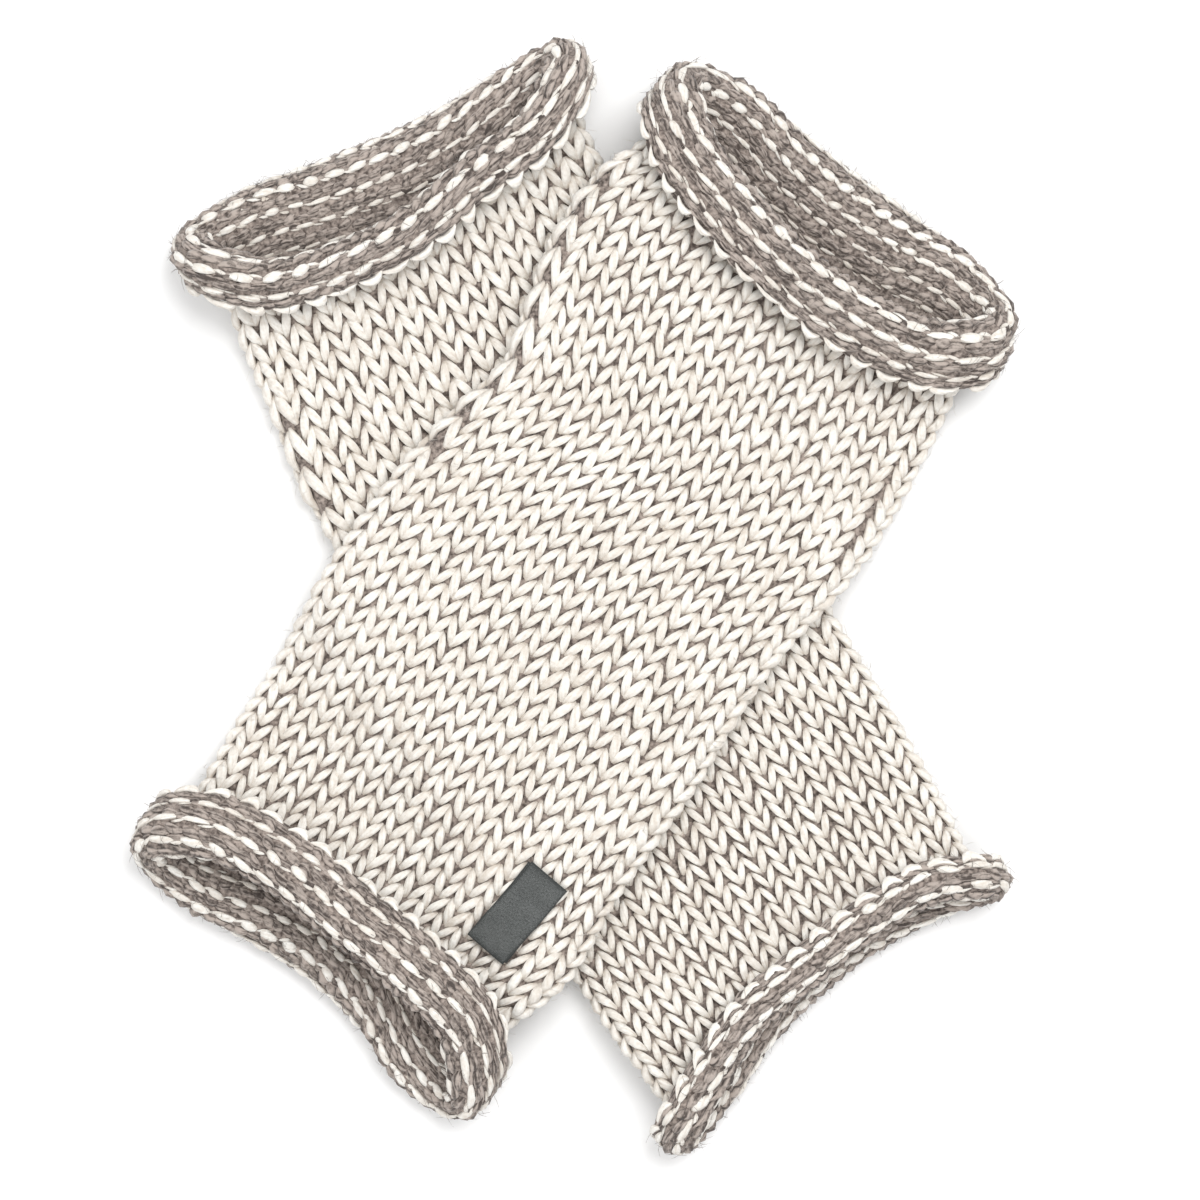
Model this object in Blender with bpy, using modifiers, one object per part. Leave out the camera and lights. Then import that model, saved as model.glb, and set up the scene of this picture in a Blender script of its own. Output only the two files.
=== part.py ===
"""A pair of chunky knitted fingerless gloves, laid flat and crossed.

Each glove is one knitted tube whose two ends curl outward into a soft roll. The lower glove lies on
the ground plane, the upper one lies across it, and a small folded label lies on the upper one.
All sizes are in millimetres until a mesh is made. +Z is up, +Y is the way both gloves point.
"""
import math
from collections import namedtuple

import bmesh
import bpy
import numpy as np
from mathutils import Vector

MM = 0.001
ABOVE = 0.1           # metres, a height over everything here

# ---------------------------------------------------------------- driving sizes
WALL = 3.4            # thickness of the plated knit
GAP = 0.3             # air between pieces that lie on each other
FACET_SAG = 0.2       # how far a facet's middle may lie off the true curve
SLOPE_RUN = 24.0      # ground distance in which the upper glove comes down from the lower one

BEND_STEPS = 3        # facets in each quarter of a side bend
PANEL_STEPS = 12      # facets across a panel
BODY_STEPS = 15       # facets along the tube
BODY_CROWDING = 0.25  # how much closer together they are near the ends
ROLL_STEPS = 6        # facets round each rolled edge

LABEL_WIDTH = 10.2
LABEL_LENGTH = 21.0
LABEL_THICK = 1.0     # two layers of woven tape
LABEL_ACROSS = 30.6   # middle of the label, from the upper glove's middle
LABEL_ALONG = -69.7
LABEL_TILT = -5.3     # degrees, from the glove's own direction
LABEL_STEPS = (8, 16)

# Cross-sections of a tube. along: station on the glove's axis. left, right: half widths.
# under: clear height below the back panel. bend: radius of the side bends.
# gape: how far the front panel bows up in its middle.
Section = namedtuple("Section", "along left right under bend gape")

# Where an end's fold line reaches along the axis, at twelve even places round the tube.
Rim = namedtuple("Rim", "left front_2l front_1l front_mid front_1r front_2r "
                        "right back_2r back_1r back_mid back_1l back_2l")

# A rolled edge: its fold line, and the half length and half height of the roll's middle line.
Roll = namedtuple("Roll", "rim half_length half_height")

Glove = namedtuple("Glove", "name centre heading sections bottom top")

ROLL_TURN_MEAN = math.radians(218.0)     # how far an edge has curled, at the sides
ROLL_TURN_SWING = math.radians(44.0)     # more on the front, less where it lies on the ground

UPPER = Glove(
    name="upper_glove_tube",
    centre=(1.98, 4.365),
    heading=55.07,
    sections=[
        Section(-114, 41.0, 41.0, 6.2, 4.2, 3.0),
        Section(-100, 41.0, 41.2, 6.2, 4.2, 3.0),
        Section(-90, 41.6, 43.0, 5.0, 3.6, 2.6),
        Section(-76, 43.2, 47.3, 1.6, 2.8, 1.4),
        Section(-55, 44.4, 46.0, 0.0, 2.4, 0.4),
        Section(-25, 46.9, 46.2, 0.0, 2.4, 0.2),
        Section(0, 45.9, 44.9, 0.0, 2.4, 0.2),
        Section(14, 43.8, 45.4, 0.0, 2.4, 0.2),
        Section(30, 41.0, 47.8, 0.0, 2.4, 0.2),
        Section(42, 43.8, 48.1, 0.0, 2.4, 0.3),
        Section(60, 48.1, 46.8, 0.0, 2.4, 0.4),
        Section(76, 47.2, 44.4, 1.6, 2.8, 1.6),
        Section(88, 42.4, 41.8, 5.0, 3.7, 3.0),
        Section(100, 40.6, 39.5, 6.2, 4.2, 3.5),
        Section(112, 40.2, 39.5, 6.2, 4.2, 3.5),
    ],
    bottom=Roll(Rim(-105.5, -96.2, -94.3, -95.3, -96.6, -99.5, -112.0, -114.2, -108.8, -106.5, -107.3, -109.1),
                half_length=5.6, half_height=3.5),
    top=Roll(Rim(105.0, 94.8, 89.3, 86.2, 85.9, 89.5, 100.2, 105.9, 106.2, 106.6, 107.4, 109.2),
             half_length=5.6, half_height=3.5),
)

LOWER = Glove(
    name="lower_glove_tube",
    centre=(3.43, 5.025),
    heading=117.4,
    sections=[
        Section(-126, 36.1, 45.0, 5.4, 2.8, 0.3),
        Section(-110, 38.5, 45.2, 5.4, 2.8, 0.3),
        Section(-97, 40.8, 44.9, 5.2, 2.7, 0.3),
        Section(-82, 43.0, 45.4, 1.4, 2.4, 0.2),
        Section(-60, 44.2, 44.9, 0.0, 2.4, 0.2),
        Section(-35, 44.6, 43.3, 0.0, 2.4, 0.2),
        Section(0, 45.5, 43.5, 0.0, 2.4, 0.2),
        Section(30, 46.4, 43.8, 0.0, 2.4, 0.2),
        Section(47, 47.2, 44.0, 0.0, 2.4, 0.2),
        Section(66, 45.3, 44.0, 0.0, 2.4, 0.4),
        Section(80, 44.2, 43.8, 0.8, 2.7, 1.2),
        Section(92, 42.6, 44.0, 4.8, 3.4, 2.2),
        Section(104, 41.9, 44.6, 5.8, 3.8, 2.5),
        Section(112, 41.9, 44.6, 5.8, 3.8, 2.5),
    ],
    bottom=Roll(Rim(-122.0, -114.0, -105.4, -101.6, -98.3, -97.9, -103.8, -102.1, -101.8, -104.7, -109.9, -117.6),
                half_length=3.3, half_height=2.9),
    top=Roll(Rim(106.4, 93.2, 89.1, 88.7, 92.7, 95.8, 106.0, 106.9, 105.6, 106.2, 108.0, 109.6),
             half_length=3.8, half_height=3.3),
)


# ---------------------------------------------------------------- shape of a knitted tube
def table_value(rows, column, along):
    """One column of a section table, on a smooth curve through its rows."""
    stations = np.array([row.along for row in rows], dtype=float)
    values = np.array([getattr(row, column) for row in rows], dtype=float)
    slopes = np.gradient(values, stations)
    along = np.clip(along, stations[0], stations[-1])
    i = np.clip(np.searchsorted(stations, along) - 1, 0, len(rows) - 2)
    step = stations[i + 1] - stations[i]
    t = (along - stations[i]) / step
    rest = 1 - t
    return (values[i] * (1 + 2 * t) * rest ** 2 + values[i + 1] * (3 - 2 * t) * t ** 2
            + step * (slopes[i] * t * rest ** 2 - slopes[i + 1] * rest * t ** 2))


def rim_reach(rim, around):
    """Where the fold line lies along the axis, on a closed smooth curve through its twelve places."""
    values = np.array(rim, dtype=float)
    place = np.asarray(around) * len(values)
    i = np.floor(place).astype(int)
    t = place - i
    a, b, c, d = (values[(i + k) % len(values)] for k in (-1, 0, 1, 2))
    return b + 0.5 * t * (c - a + t * (2 * a - 5 * b + 4 * c - d + t * (3 * (b - c) + d - a)))


def smoothstep(t):
    t = np.clip(t, 0.0, 1.0)
    return t * t * (3 - 2 * t)


def glove_to_ground(glove, across, along):
    """Ground coordinates of a place on a glove's own axes."""
    turn = math.radians(glove.heading)
    x = glove.centre[0] + across * math.sin(turn) + along * math.cos(turn)
    y = glove.centre[1] - across * math.cos(turn) + along * math.sin(turn)
    return x, y


def ground_to_glove(glove, x, y):
    turn = math.radians(glove.heading)
    dx = x - glove.centre[0]
    dy = y - glove.centre[1]
    return dx * math.sin(turn) - dy * math.cos(turn), dx * math.cos(turn) + dy * math.sin(turn)


def lift_over_lower(x, y):
    """How high the upper glove is carried by the lower one, easing down to the ground beside it."""
    across, along = ground_to_glove(LOWER, x, y)
    rows = LOWER.sections
    crown = (np.maximum(table_value(rows, "under", along), 0.0) + 2 * table_value(rows, "bend", along)
             + table_value(rows, "gape", along) + WALL)
    outside = np.maximum(across - table_value(rows, "right", along),
                         -across - table_value(rows, "left", along)) - WALL / 2
    return (crown + GAP + FACET_SAG) * (1 - smoothstep(outside / SLOPE_RUN))


def tube_point(glove, around, along, outward):
    """A point of the tube: around is 0 at the left side and goes over the front, along is on the axis,
    outward is the distance out from the tube's middle surface."""
    rows = glove.sections
    left = table_value(rows, "left", along)
    right = table_value(rows, "right", along)
    bend = table_value(rows, "bend", along)
    under = np.maximum(table_value(rows, "under", along), 0.0)
    gape = table_value(rows, "gape", along)

    radius = bend + outward
    panel = left + right - 2 * bend
    half_round = math.pi * radius + panel
    run = (np.asarray(around) % 0.5) * 2 * half_round
    quarter = math.pi / 2 * radius
    turned = np.clip(run, 0, quarter) / radius + np.clip(run - quarter - panel, 0, quarter) / radius
    from_left = (bend - left) - radius * np.cos(turned) + np.clip(run - quarter, 0, panel)
    height = radius * np.sin(turned)
    on_back = np.asarray(around) % 1.0 >= 0.5
    across = np.where(on_back, right - left - from_left, from_left)
    height = np.where(on_back, -height, height)

    middle = (right - left) / 2
    half_width = (left + right) / 2
    offset = np.clip((across - middle) / half_width, -1, 1)
    bow = gape * (1 - offset ** 2) * (1 + height / radius) / 2
    z = under + WALL / 2 + bend + height + bow
    x, y = glove_to_ground(glove, across, along)
    if glove is UPPER:
        z = z + lift_over_lower(x, y)
    return x, y, np.maximum(z, WALL / 2)


def edge_profile(glove, around, reach):
    """Station and outward distance at reach -2 to 2: up to 1 is the tube, past 1 the curling edge."""
    end = glove.top if reach > 0 else glove.bottom
    way = 1 if reach > 0 else -1
    fold = rim_reach(end.rim, around) - way * end.half_length
    turn = ROLL_TURN_MEAN + ROLL_TURN_SWING * np.sin(2 * math.pi * around)
    angle = turn * max(abs(reach) - 1, 0)
    along = fold * min(abs(reach), 1) + way * end.half_length * np.sin(angle)
    return along, end.half_height * (1 - np.cos(angle))


def ring_places(bend_radius, panel):
    """Places round a tube, closer together in its side bends."""
    quarter = math.pi / 2 * bend_radius
    half_round = 2 * quarter + panel
    bends = np.linspace(0, quarter, BEND_STEPS + 1)
    panels = quarter + panel * np.linspace(0, 1, PANEL_STEPS + 1)[1:-1]
    front = np.concatenate([bends, panels, half_round - bends[::-1]])[:-1] / (2 * half_round)
    return np.concatenate([front, front + 0.5])


def tube_rings(glove):
    """Rings of points from the bottom free edge to the top one."""
    even = np.linspace(-1, 1, BODY_STEPS + 1)
    body = even * (1 + BODY_CROWDING * (1 - even ** 2))
    roll = 1 + np.linspace(0, 1, ROLL_STEPS + 1)[1:]
    reaches = np.concatenate([-roll[::-1], body, roll])
    rings = []
    for reach in reaches:
        end = glove.top if reach > 0 else glove.bottom
        curl = ROLL_TURN_MEAN * max(abs(reach) - 1, 0)
        outward = end.half_height * (1 - math.cos(curl))
        station = np.mean(end.rim) * min(abs(reach), 1)
        bend = float(table_value(glove.sections, "bend", station))
        width = float(table_value(glove.sections, "left", station) + table_value(glove.sections, "right", station))
        around = ring_places(bend + outward, width - 2 * bend)
        along, out = edge_profile(glove, around, reach)
        rings.append(np.stack(tube_point(glove, around, along, out), axis=-1))
    return rings


# ---------------------------------------------------------------- meshes
def clear_scene():
    for thing in list(bpy.data.objects):
        bpy.data.objects.remove(thing, do_unlink=True)


def make_collection(name):
    collection = bpy.data.collections.new(name)
    bpy.context.scene.collection.children.link(collection)
    return collection


def plain_material(name, colour, roughness):
    material = bpy.data.materials.new(name)
    material.use_nodes = True
    shader = material.node_tree.nodes["Principled BSDF"]
    shader.inputs["Base Color"].default_value = (*colour, 1.0)
    shader.inputs["Roughness"].default_value = roughness
    shader.inputs["Metallic"].default_value = 0.0
    return material


def sheet_object(name, rows, closed, collection, material):
    """An open surface through rows of points; closed joins each row's last point to its first."""
    form = bmesh.new()
    grid = [[form.verts.new(point * MM) for point in row] for row in rows]
    columns = len(grid[0])
    for lower, upper in zip(grid[:-1], grid[1:]):
        for i in range(columns if closed else columns - 1):
            j = (i + 1) % columns
            form.faces.new((lower[i], lower[j], upper[j], upper[i]))
    bmesh.ops.recalc_face_normals(form, faces=form.faces)
    mesh = bpy.data.meshes.new(name)
    form.to_mesh(mesh)
    form.free()
    mesh.shade_smooth()
    mesh.materials.append(material)
    sheet = bpy.data.objects.new(name, mesh)
    collection.objects.link(sheet)
    return sheet


def thicken(sheet, thickness):
    solidify = sheet.modifiers.new("wall", "SOLIDIFY")
    solidify.thickness = thickness * MM
    solidify.offset = 0.0


def make_tube(glove, collection, material):
    tube = sheet_object(glove.name, tube_rings(glove), True, collection, material)
    thicken(tube, WALL)
    return tube


def make_label(glove, tube, collection, material):
    """The folded label lies on a glove's front panel, so its points are that panel's own, moved up."""
    bpy.context.view_layer.update()
    panel = tube.evaluated_get(bpy.context.evaluated_depsgraph_get())
    tilt = math.radians(LABEL_TILT)
    rows = []
    for v in np.linspace(-0.5, 0.5, LABEL_STEPS[1] + 1):
        row = []
        for u in np.linspace(-0.5, 0.5, LABEL_STEPS[0] + 1):
            across = LABEL_ACROSS + u * LABEL_WIDTH * math.cos(tilt) - v * LABEL_LENGTH * math.sin(tilt)
            along = LABEL_ALONG + u * LABEL_WIDTH * math.sin(tilt) + v * LABEL_LENGTH * math.cos(tilt)
            x, y = glove_to_ground(glove, across, along)
            _, place, _, _ = panel.ray_cast(Vector((x * MM, y * MM, ABOVE)), Vector((0, 0, -1)))
            row.append(np.array([x, y, place.z / MM + GAP + LABEL_THICK / 2]))
        rows.append(row)
    label = sheet_object("woven_label", rows, False, collection, material)
    thicken(label, LABEL_THICK)


def main():
    clear_scene()
    collection = make_collection("knitted_gloves")
    knit = plain_material("cream_knit", (0.86, 0.82, 0.76), 0.9)
    lower_knit = plain_material("cream_knit_lower", (0.83, 0.79, 0.73), 0.9)
    tape = plain_material("grey_tape", (0.09, 0.095, 0.1), 0.75)
    make_tube(LOWER, collection, lower_knit)
    upper_tube = make_tube(UPPER, collection, knit)
    make_label(UPPER, upper_tube, collection, tape)


main()
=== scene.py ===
"""The knit, the label and the studio round a pair of chunky fingerless gloves, laid flat and crossed.

Each glove is a tube of stockinette. Its face is cream yarn, and the taupe yarn plated behind it shows
between the stitches, inside the mouths and on the ends, which curl outward. The stitches are modelled
once, repeated as a flat piece of knitting in millimetres, and then laid on the glove's own surface.
"""
import math
from collections import namedtuple

import bpy
import numpy as np
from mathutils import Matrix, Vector


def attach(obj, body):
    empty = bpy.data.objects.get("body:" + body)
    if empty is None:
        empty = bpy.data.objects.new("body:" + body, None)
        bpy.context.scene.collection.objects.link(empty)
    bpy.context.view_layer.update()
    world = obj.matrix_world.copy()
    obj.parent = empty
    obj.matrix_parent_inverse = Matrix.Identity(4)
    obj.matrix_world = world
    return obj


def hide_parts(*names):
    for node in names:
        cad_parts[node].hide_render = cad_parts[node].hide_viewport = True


MM = 0.001
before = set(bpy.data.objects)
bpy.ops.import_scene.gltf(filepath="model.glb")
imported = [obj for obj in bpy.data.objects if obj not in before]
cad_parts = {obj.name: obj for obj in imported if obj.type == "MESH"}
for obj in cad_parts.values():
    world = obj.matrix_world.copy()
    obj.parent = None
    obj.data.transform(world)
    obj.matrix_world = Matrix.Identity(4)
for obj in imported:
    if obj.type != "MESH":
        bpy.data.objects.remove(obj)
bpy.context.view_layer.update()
bpy.ops.object.select_all(action="DESELECT")

# ---------------------------------------------------------------- sizes of the knit, in millimetres
WALL = 3.4                # thickness of the plated knit
GAP = 0.3                 # air between pieces that lie on each other
FACET_SAG = 0.2           # how far the upper glove's flat facets may hang below its smooth surface
SLOPE_RUN = 24.0          # ground distance in which the upper glove comes down from the lower one
WALE = 5.44               # width of one stitch
COURSE = 4.56             # height of one stitch, before the knitting is laid on its glove
ROLL_TURN_MEAN = math.radians(218.0)    # how far an edge curls, on average round the tube
ROLL_TURN_SWING = math.radians(44.0)    # how much further on the front, and less far on the back
ROLL_TURN_MOST = math.radians(225.0)
ROLL_TRACE = math.radians(300.0)        # how far round a roll its lengths are worked out
ROLL_FLARE = 0.8          # how much the free edge opens out past the top of the roll

# A cut through a tube: its place along the axis, how far it reaches to both sides, its height above what
# it lies on, the radius of its two folds, and how far its panels part
Section = namedtuple("Section", "along left right under bend gape")
# How far an end reaches along the axis at twelve places, from the left side over the front and back
Rim = namedtuple("Rim", "left front_2l front_1l front_mid front_1r front_2r "
                        "right back_2r back_1r back_mid back_1l back_2l")
# A rolled end: row is one course where the edge curls, measured on the middle of the cloth, and edge_back
# is how far the cream strands of the cast-off edge lie back from it
Roll = namedtuple("Roll", "rim half_length half_height row edge_back purl_rows_inside")
# A tube: courses says how high a course is at some places along it
Glove = namedtuple("Glove", "name body centre heading wales courses sections bottom top")

UPPER = Glove(
    name="upper_glove",
    body="upper_glove_tube",
    centre=(1.98, 4.365),
    heading=55.07,
    wales=35,
    courses=((-70, 4.08), (-45, 4.38), (35, 4.38), (65, 4.12)),
    sections=[
        Section(-114, 41.0, 41.0, 6.2, 4.2, 3.0),
        Section(-100, 41.0, 41.2, 6.2, 4.2, 3.0),
        Section(-90, 41.6, 43.0, 5.0, 3.6, 2.6),
        Section(-76, 43.2, 47.3, 1.6, 2.8, 1.4),
        Section(-55, 44.4, 46.0, 0.0, 2.4, 0.4),
        Section(-25, 46.9, 46.2, 0.0, 2.4, 0.2),
        Section(0, 45.9, 44.9, 0.0, 2.4, 0.2),
        Section(14, 43.8, 45.4, 0.0, 2.4, 0.2),
        Section(30, 41.0, 47.8, 0.0, 2.4, 0.2),
        Section(42, 43.8, 48.1, 0.0, 2.4, 0.3),
        Section(60, 48.1, 46.8, 0.0, 2.4, 0.4),
        Section(76, 47.2, 44.4, 1.6, 2.8, 1.6),
        Section(88, 42.4, 41.8, 5.0, 3.7, 3.0),
        Section(100, 40.6, 39.5, 6.2, 4.2, 3.5),
        Section(112, 40.2, 39.5, 6.2, 4.2, 3.5),
    ],
    bottom=Roll(Rim(-105.5, -96.2, -94.3, -95.3, -96.6, -99.5,
                    -112.0, -114.2, -108.8, -106.5, -107.3, -109.1),
                half_length=5.6, half_height=3.5, row=4.2, edge_back=0.0, purl_rows_inside=6),
    top=Roll(Rim(105.0, 94.8, 89.3, 86.2, 85.9, 89.5,
                 100.2, 105.9, 106.2, 106.6, 107.4, 109.2),
             half_length=5.6, half_height=3.5, row=4.2, edge_back=0.0, purl_rows_inside=7),
)

LOWER = Glove(
    name="lower_glove",
    body="lower_glove_tube",
    centre=(3.43, 5.025),
    heading=117.4,
    wales=34,
    courses=((-62, 3.78), (-30, 4.3), (20, 4.5), (75, 4.5)),
    sections=[
        Section(-126, 36.1, 45.0, 5.4, 2.8, 0.3),
        Section(-110, 38.5, 45.2, 5.4, 2.8, 0.3),
        Section(-97, 40.8, 44.9, 5.2, 2.7, 0.3),
        Section(-82, 43.0, 45.4, 1.4, 2.4, 0.2),
        Section(-60, 44.2, 44.9, 0.0, 2.4, 0.2),
        Section(-35, 44.6, 43.3, 0.0, 2.4, 0.2),
        Section(0, 45.5, 43.5, 0.0, 2.4, 0.2),
        Section(30, 46.4, 43.8, 0.0, 2.4, 0.2),
        Section(47, 47.2, 44.0, 0.0, 2.4, 0.2),
        Section(66, 45.3, 44.0, 0.0, 2.4, 0.4),
        Section(80, 44.2, 43.8, 0.8, 2.7, 1.2),
        Section(92, 42.6, 44.0, 4.8, 3.4, 2.2),
        Section(104, 41.9, 44.6, 5.8, 3.8, 2.5),
        Section(112, 41.9, 44.6, 5.8, 3.8, 2.5),
    ],
    bottom=Roll(Rim(-122.0, -114.0, -105.4, -101.6, -98.3, -97.9,
                    -103.8, -102.1, -101.8, -104.7, -109.9, -117.6),
                half_length=3.3, half_height=2.9, row=3.8, edge_back=1.3, purl_rows_inside=3),
    top=Roll(Rim(106.4, 93.2, 89.1, 88.7, 92.7, 95.8,
                 106.0, 106.9, 105.6, 106.2, 108.0, 109.6),
             half_length=3.8, half_height=3.3, row=3.8, edge_back=0.0, purl_rows_inside=7),
)


# ---------------------------------------------------------------- the surface of a knitted tube
def table_value(rows, column, along):
    """One column of a section table, on a smooth curve through its rows."""
    stations = np.array([row.along for row in rows], dtype=float)
    values = np.array([getattr(row, column) for row in rows], dtype=float)
    slopes = np.gradient(values, stations)
    along = np.clip(along, stations[0], stations[-1])
    i = np.clip(np.searchsorted(stations, along) - 1, 0, len(rows) - 2)
    step = stations[i + 1] - stations[i]
    t = (along - stations[i]) / step
    rest = 1 - t
    return (values[i] * (1 + 2 * t) * rest ** 2 + values[i + 1] * (3 - 2 * t) * t ** 2
            + step * (slopes[i] * t * rest ** 2 - slopes[i + 1] * rest * t ** 2))


def rim_reach(rim, around):
    """Where an end's outermost line lies along the axis, on a closed curve through its twelve places."""
    values = np.array(rim, dtype=float)
    place = np.asarray(around) * len(values)
    i = np.floor(place).astype(int)
    t = place - i
    a, b, c, d = (values[(i + k) % len(values)] for k in (-1, 0, 1, 2))
    return b + 0.5 * t * (c - a + t * (2 * a - 5 * b + 4 * c - d + t * (3 * (b - c) + d - a)))


def smoothstep(t):
    t = np.clip(t, 0.0, 1.0)
    return t * t * (3 - 2 * t)


def glove_to_ground(glove, across, along):
    turn = math.radians(glove.heading)
    x = glove.centre[0] + across * math.sin(turn) + along * math.cos(turn)
    y = glove.centre[1] - across * math.cos(turn) + along * math.sin(turn)
    return x, y


def ground_to_glove(glove, x, y):
    turn = math.radians(glove.heading)
    dx = x - glove.centre[0]
    dy = y - glove.centre[1]
    return dx * math.sin(turn) - dy * math.cos(turn), dx * math.cos(turn) + dy * math.sin(turn)


def lift_over_lower(x, y):
    """How high the upper glove is carried by the lower one, easing down to the ground beside it."""
    across, along = ground_to_glove(LOWER, x, y)
    rows = LOWER.sections
    crown = (np.maximum(table_value(rows, "under", along), 0.0) + 2 * table_value(rows, "bend", along)
             + table_value(rows, "gape", along) + WALL)
    outside = np.maximum(across - table_value(rows, "right", along),
                         -across - table_value(rows, "left", along)) - WALL / 2
    return (crown + GAP + FACET_SAG) * (1 - smoothstep(outside / SLOPE_RUN))


def tube_point(glove, around, along, outward):
    """A point of the tube: around is 0 at the left side and goes over the front, along is on the axis,
    outward is the distance out from the tube's middle surface."""
    rows = glove.sections
    left = table_value(rows, "left", along)
    right = table_value(rows, "right", along)
    bend = table_value(rows, "bend", along)
    under = np.maximum(table_value(rows, "under", along), 0.0)
    gape = table_value(rows, "gape", along)

    radius = bend + outward
    panel = left + right - 2 * bend
    half_round = math.pi * radius + panel
    run = (around % 0.5) * 2 * half_round
    quarter = math.pi / 2 * radius
    turned = np.clip(run, 0, quarter) / radius + np.clip(run - quarter - panel, 0, quarter) / radius
    from_left = (bend - left) - radius * np.cos(turned) + np.clip(run - quarter, 0, panel)
    height = radius * np.sin(turned)
    on_back = around % 1.0 >= 0.5
    across = np.where(on_back, right - left - from_left, from_left)
    height = np.where(on_back, -height, height)

    middle = (right - left) / 2
    half_width = (left + right) / 2
    offset = np.clip((across - middle) / half_width, -1, 1)
    bow = gape * (1 - offset ** 2) * (1 + height / radius) / 2
    z = under + WALL / 2 + bend + height + bow
    x, y = glove_to_ground(glove, across, along)
    if glove is UPPER:
        z = z + lift_over_lower(x, y)
    return np.stack([x, y, np.maximum(z, WALL / 2)], axis=-1)


def ends_of(glove):
    """Each end of a tube with the way it points along the axis."""
    return ((glove.bottom, -1), (glove.top, 1))


def curl(end, angle):
    """A rolled edge in section: how far along from its fold, and how far out. Past the top it flares."""
    flare = 1 + ROLL_FLARE * np.maximum(angle - math.pi, 0)
    return end.half_length * np.sin(angle) * flare, end.half_height * (1 - np.cos(angle))


def roll_lengths(end):
    """Angles round a rolled edge, and the length of cloth from its fold to each."""
    angle = np.linspace(0, ROLL_TRACE, 300)
    along, out = curl(end, angle)
    return angle, np.concatenate([[0.0], np.cumsum(np.hypot(np.diff(along), np.diff(out)))])


def fold_line(end, way, around):
    """Where the cloth starts to curl, along the axis."""
    return rim_reach(end.rim, around) - way * end.half_length


def edge_run(end, around):
    """The length of cloth from the fold to the free edge."""
    angle, run = roll_lengths(end)
    turn = ROLL_TURN_MEAN + ROLL_TURN_SWING * np.sin(2 * math.pi * around)
    return np.interp(np.minimum(turn, ROLL_TURN_MOST), angle, run)


def cloth_point(glove, around, run):
    """A point of the knit's middle surface. run is the length of cloth from the glove's middle."""
    along = np.array(run, dtype=float)
    outward = np.zeros_like(along)
    for end, way in ends_of(glove):
        fold = fold_line(end, way, around)
        past = way * (run - fold)
        curled = (past > 0) & (way * run > 0)
        angles, runs = roll_lengths(end)
        curl_along, curl_out = curl(end, np.interp(past, runs, angles))
        along = np.where(curled, fold + way * curl_along, along)
        outward = np.where(curled, curl_out, outward)
    return tube_point(glove, around, along, outward)


FLAT_REACH = 150.0        # half of the height of flat knitting that is enough for either glove


def course_places(glove):
    """Heights in the flat knitting, and where each comes to lie along the glove."""
    flat = np.arange(-FLAT_REACH, FLAT_REACH + 1)
    share = np.interp(flat, *zip(*glove.courses)) / COURSE
    run = np.concatenate([[0.0], np.cumsum((share[1:] + share[:-1]) / 2)])
    return flat, run - np.interp(0.0, flat, run)


AROUND_STEP = 0.001       # for finding the way the surface faces
RUN_STEP = 0.15
FLOOR_CLEAR = 0.02        # no stitch goes below the surface that the gloves lie on


def cloth_place(glove, around, run, height):
    """The middle surface moved out along its normal by height, in metres."""
    here = cloth_point(glove, around, run)
    sideways = cloth_point(glove, around + AROUND_STEP, run) - cloth_point(glove, around - AROUND_STEP, run)
    onward = cloth_point(glove, around, run + RUN_STEP) - cloth_point(glove, around, run - RUN_STEP)
    normal = np.cross(sideways, onward)
    normal /= np.maximum(np.linalg.norm(normal, axis=-1, keepdims=True), 1e-9)
    place = here + normal * height[:, None]
    place[:, 2] = np.maximum(place[:, 2], FLOOR_CLEAR)
    return place * MM


# ---------------------------------------------------------------- shader maths
STRAND_UV = "strand"      # round a strand, and along it
TINT = "tint"             # differs from strand to strand
PAINTED_SHADE = "painted_shade"           # how much painted shade darkens the yarn: 0 on top of a stitch, 1 down between stitches


class Value:
    """A shader socket that takes part in Python expressions, each of which adds a Math node."""

    def __init__(self, paint, socket):
        self.paint, self.socket = paint, socket

    def maths(self, operation, *others):
        return self.paint.node("ShaderNodeMath", {"operation": operation}, [self, *others])

    def __add__(self, other):
        return self.maths("ADD", other)

    def __sub__(self, other):
        return self.maths("SUBTRACT", other)

    def __mul__(self, other):
        return self.maths("MULTIPLY", other)

    def __pow__(self, other):
        return self.maths("POWER", other)

    __radd__, __rmul__ = __add__, __mul__


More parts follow.
